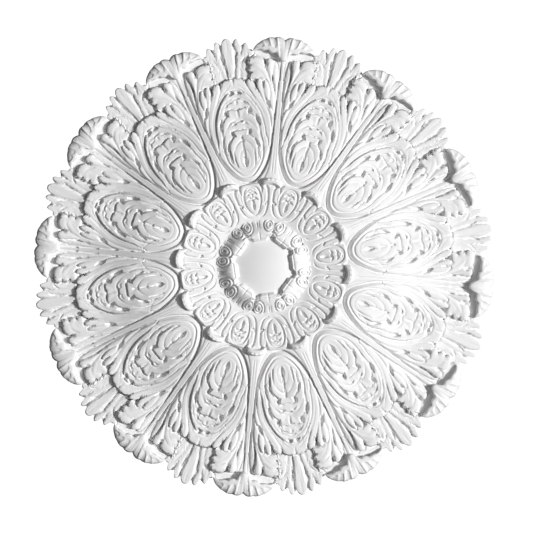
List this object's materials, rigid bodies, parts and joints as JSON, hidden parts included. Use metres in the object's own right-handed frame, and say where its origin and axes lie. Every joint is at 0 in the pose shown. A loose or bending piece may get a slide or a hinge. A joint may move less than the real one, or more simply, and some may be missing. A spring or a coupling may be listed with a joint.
{
  "type": "ceiling rose",
  "caption": "Round ceiling ornament carved with acanthus panels around a plain domed boss, with curled shells along its rim and a flat back fixed against a ceiling.",
  "frame": {"origin": "centre of the flat back face, on the axis of the rose", "axes": "+Z up, out of the flat back into the ceiling; the carved face looks down, -Z; seen from below with +X to the right, -Y is up"},
  "size_m": [0.6912, 0.6912, 0.058],
  "materials": {
    "plaster": "matt white casting plaster, smooth, with faint mottling"
  },
  "bodies": {
    "root": {"ceiling_rose": "plaster"}
  },
  "joints": []
}
